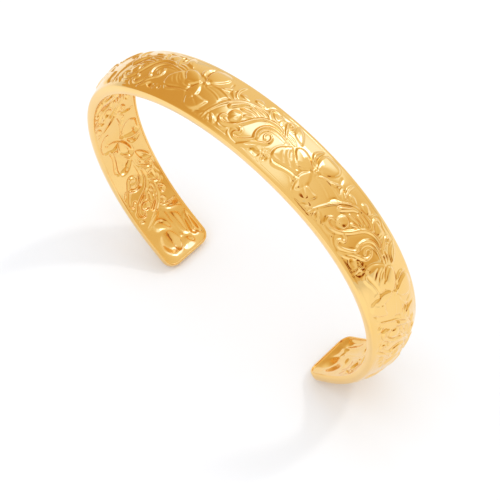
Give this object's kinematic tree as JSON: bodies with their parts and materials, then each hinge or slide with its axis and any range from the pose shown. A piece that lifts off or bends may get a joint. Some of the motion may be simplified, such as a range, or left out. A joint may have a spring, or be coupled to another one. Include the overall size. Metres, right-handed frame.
{
  "type": "cuff bangle bracelet",
  "caption": "Open oval cuff bangle with a domed, flower-chased band held in a plain raised rim, with squared tips.",
  "frame": {"origin": "on the surface that the tips stand on, under the middle of the cuff", "axes": "+X across the wrist, +Y along the wrist through the opening, +Z from the tips up to the crown"},
  "size_m": [0.0634, 0.0096, 0.0516],
  "materials": {
    "gold_band": "polished yellow gold plate over die-struck brass",
    "gold_rim": "high-polished yellow gold plate over brass wire"
  },
  "bodies": {
    "root": {"relief_band": "gold_band", "near_side_rim": "gold_rim", "far_side_rim": "gold_rim", "left_tip_rim": "gold_rim", "right_tip_rim": "gold_rim"}
  },
  "joints": []
}
